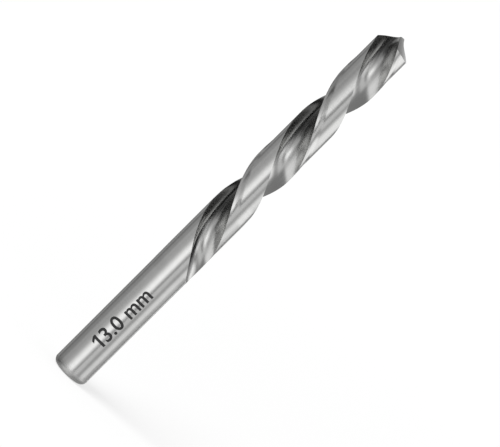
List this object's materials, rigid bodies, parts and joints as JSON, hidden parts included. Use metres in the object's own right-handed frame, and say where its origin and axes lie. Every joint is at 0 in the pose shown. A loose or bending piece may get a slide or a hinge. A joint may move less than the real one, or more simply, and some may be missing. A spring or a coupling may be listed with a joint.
{
  "type": "twist drill bit",
  "caption": "Straight-shank twist drill with polished left-hand spiral flutes, relieved lands and a conical ground point.",
  "frame": {"origin": "centre of the flat end of the shank, on the drill's axis", "axes": "+Z along the drill's axis from the shank's end to the point; X and Y are level, and the outer corner of one lip lies close to -Y"},
  "size_m": [0.013, 0.013, 0.151],
  "materials": {
    "ground_steel": "ground and polished bright steel"
  },
  "bodies": {
    "root": {"drill_bit": "ground_steel"}
  },
  "joints": []
}
